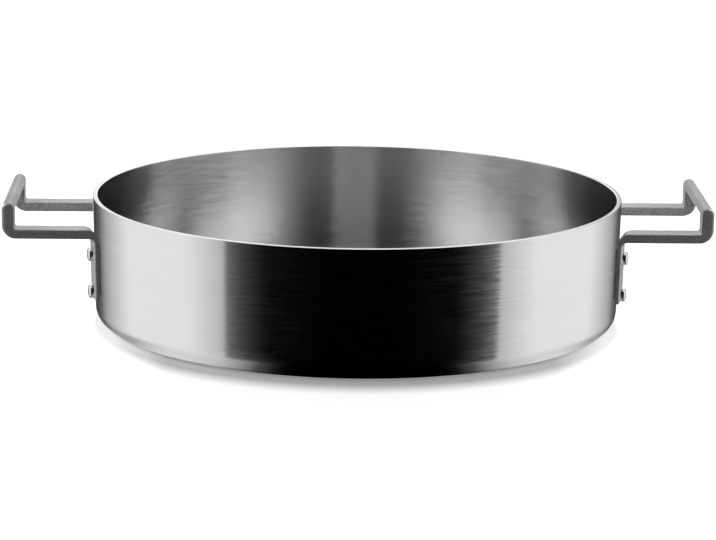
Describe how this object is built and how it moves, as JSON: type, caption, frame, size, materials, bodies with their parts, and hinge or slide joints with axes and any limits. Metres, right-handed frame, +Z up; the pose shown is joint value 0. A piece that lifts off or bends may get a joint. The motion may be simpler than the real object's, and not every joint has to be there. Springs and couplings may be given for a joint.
{
  "type": "cooking pot",
  "caption": "Low round cooking pot with a three-ply clad steel body and two dark loop handles riveted to its wall, for use on a hob.",
  "frame": {"origin": "middle of the base's underside, on the surface that the pot stands on", "axes": "+Z up, out of the pot's mouth; +X from the axis through the middle of the right handle; -Y towards the front"},
  "size_m": [0.3768, 0.285, 0.07],
  "materials": {
    "shell_steel": "satin, brushed round the wall",
    "core_aluminium": "bare, seen only as a line in the rim's cut edge",
    "liner_steel": "satin, brushed round the wall and the floor",
    "handle_coat": "dark grey, matte and fine-grained, over cast steel",
    "rivet_steel": "bright, with domed heads"
  },
  "bodies": {
    "root": {"outer_shell": "shell_steel", "heat_core": "core_aluminium", "inner_liner": "liner_steel", "handle_left": "handle_coat", "handle_right": "handle_coat", "rivet_left_front_upper": "rivet_steel", "rivet_left_front_lower": "rivet_steel", "rivet_left_back_upper": "rivet_steel", "rivet_left_back_lower": "rivet_steel", "rivet_right_front_upper": "rivet_steel", "rivet_right_front_lower": "rivet_steel", "rivet_right_back_upper": "rivet_steel", "rivet_right_back_lower": "rivet_steel"}
  },
  "joints": []
}
